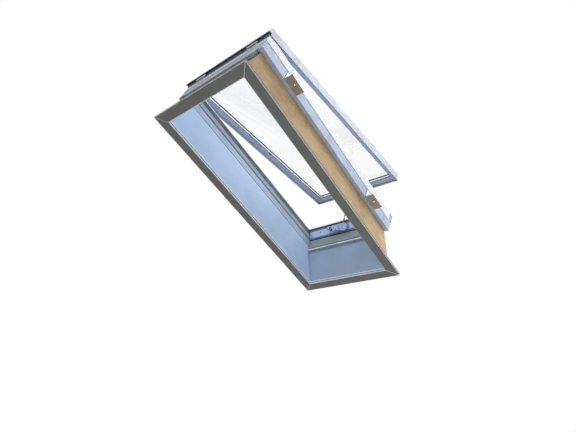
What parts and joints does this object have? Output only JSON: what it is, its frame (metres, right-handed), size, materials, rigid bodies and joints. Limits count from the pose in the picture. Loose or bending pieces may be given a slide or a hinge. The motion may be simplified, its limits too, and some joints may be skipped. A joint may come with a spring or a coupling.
{
  "type": "opening roof skylight",
  "caption": "Top-hinged roof skylight with its frame, double-glazed sash standing open on a push chain, plumb-sill light well and mitred casing.",
  "frame": {"origin": "centre of the casing, on its room face", "axes": "+Z out through the roof, square to the ceiling; +Y up the slope, towards the hinges; +X to the left as seen from the room"},
  "size_m": [0.688, 1.384, 0.6574],
  "materials": {
    "casing_paint": "satin white paint on flat boards",
    "lining_paint": "satin white paint",
    "frame_paint": "smooth white factory paint",
    "seal_rubber": "matt black",
    "cap_aluminium": "light satin",
    "cover_aluminium": "grey lacquered sheet",
    "sash_paint": "smooth grey-blue factory paint",
    "glass": "clear",
    "spacer_aluminium": "bright satin",
    "tape_rubber": "matt black",
    "bracket_steel": "zinc plated",
    "screw_steel": "zinc plated",
    "hinge_steel": "zinc plated",
    "operator_metal": "worn grey paint on die-cast metal",
    "operator_dark": "dark grey",
    "gear_steel": "machined",
    "chain_steel": "oiled"
  },
  "bodies": {
    "frame": {"casing_left": "casing_paint", "casing_right": "casing_paint", "casing_head": "casing_paint", "casing_sill": "casing_paint", "lining_left": "lining_paint", "lining_right": "lining_paint", "lining_head": "lining_paint", "lining_sill": "lining_paint", "sill_nosing": "frame_paint", "frame_left": "frame_paint", "frame_right": "frame_paint", "frame_head": "frame_paint", "frame_sill": "frame_paint", "frame_seal_left": "seal_rubber", "frame_seal_right": "seal_rubber", "frame_seal_head": "seal_rubber", "frame_seal_sill": "seal_rubber", "frame_cap_left": "cap_aluminium", "frame_cap_right": "cap_aluminium", "frame_cap_head": "cap_aluminium", "frame_cap_sill": "cap_aluminium", "bulb_seal": "seal_rubber", "bracket_upper_left": "bracket_steel", "bracket_lower_left": "bracket_steel", "bracket_upper_right": "bracket_steel", "bracket_lower_right": "bracket_steel", "bracket_screws": "screw_steel", "sill_screws": "screw_steel", "hinge_frame_leaf_left": "hinge_steel", "hinge_frame_leaf_right": "hinge_steel", "hinge_pin_left": "hinge_steel", "hinge_pin_right": "hinge_steel", "hinge_screws_frame": "screw_steel", "operator_base": "operator_dark", "operator_housing": "operator_metal", "operator_screws": "screw_steel", "chain": "chain_steel"},
    "sash": {"sash_stile_left": "sash_paint", "sash_stile_right": "sash_paint", "sash_rail_head": "sash_paint", "sash_rail_bottom": "sash_paint", "sash_cover_left": "cover_aluminium", "sash_cover_right": "cover_aluminium", "sash_cover_head": "cover_aluminium", "sash_cover_bottom": "cover_aluminium", "pane_inner": "glass", "pane_outer": "glass", "glass_spacer": "spacer_aluminium", "glazing_tape_inner": "tape_rubber", "glazing_tape_outer": "tape_rubber", "hinge_sash_leaf_left": "hinge_steel", "hinge_sash_leaf_right": "hinge_steel", "hinge_screws_sash": "screw_steel", "sash_bracket": "hinge_steel", "sash_bracket_pin": "hinge_steel", "sash_bracket_screws": "screw_steel"},
    "drive": {"drive_shaft": "gear_steel", "chain_sprocket": "gear_steel", "worm_wheel": "gear_steel"},
    "worm": {"worm_shaft": "gear_steel"}
  },
  "joints": [
    {"name": "sash_hinge", "type": "hinge", "parent": "frame", "child": "sash", "pos_m": [0, 0.676, 0.318], "axis": [-1, 0, 0], "range_deg": [-14.4, 0], "deforming": ["chain"]},
    {"name": "drive_spin", "type": "hinge", "parent": "frame", "child": "drive", "pos_m": [-0.011, -0.47459, 0.27733], "axis": [1, 0, 0], "range_deg": [-2010.5, 0]},
    {"name": "worm_spin", "type": "hinge", "parent": "frame", "child": "worm", "pos_m": [0.066, -0.45376, 0.24782], "axis": [0, 0.8321, -0.5547], "range_deg": [-16083, 0]}
  ],
  "couplings": [
    {"joint": "drive_spin", "follows": "sash_hinge", "ratio": 139.6},
    {"joint": "worm_spin", "follows": "sash_hinge", "ratio": 1116.8}
  ]
}
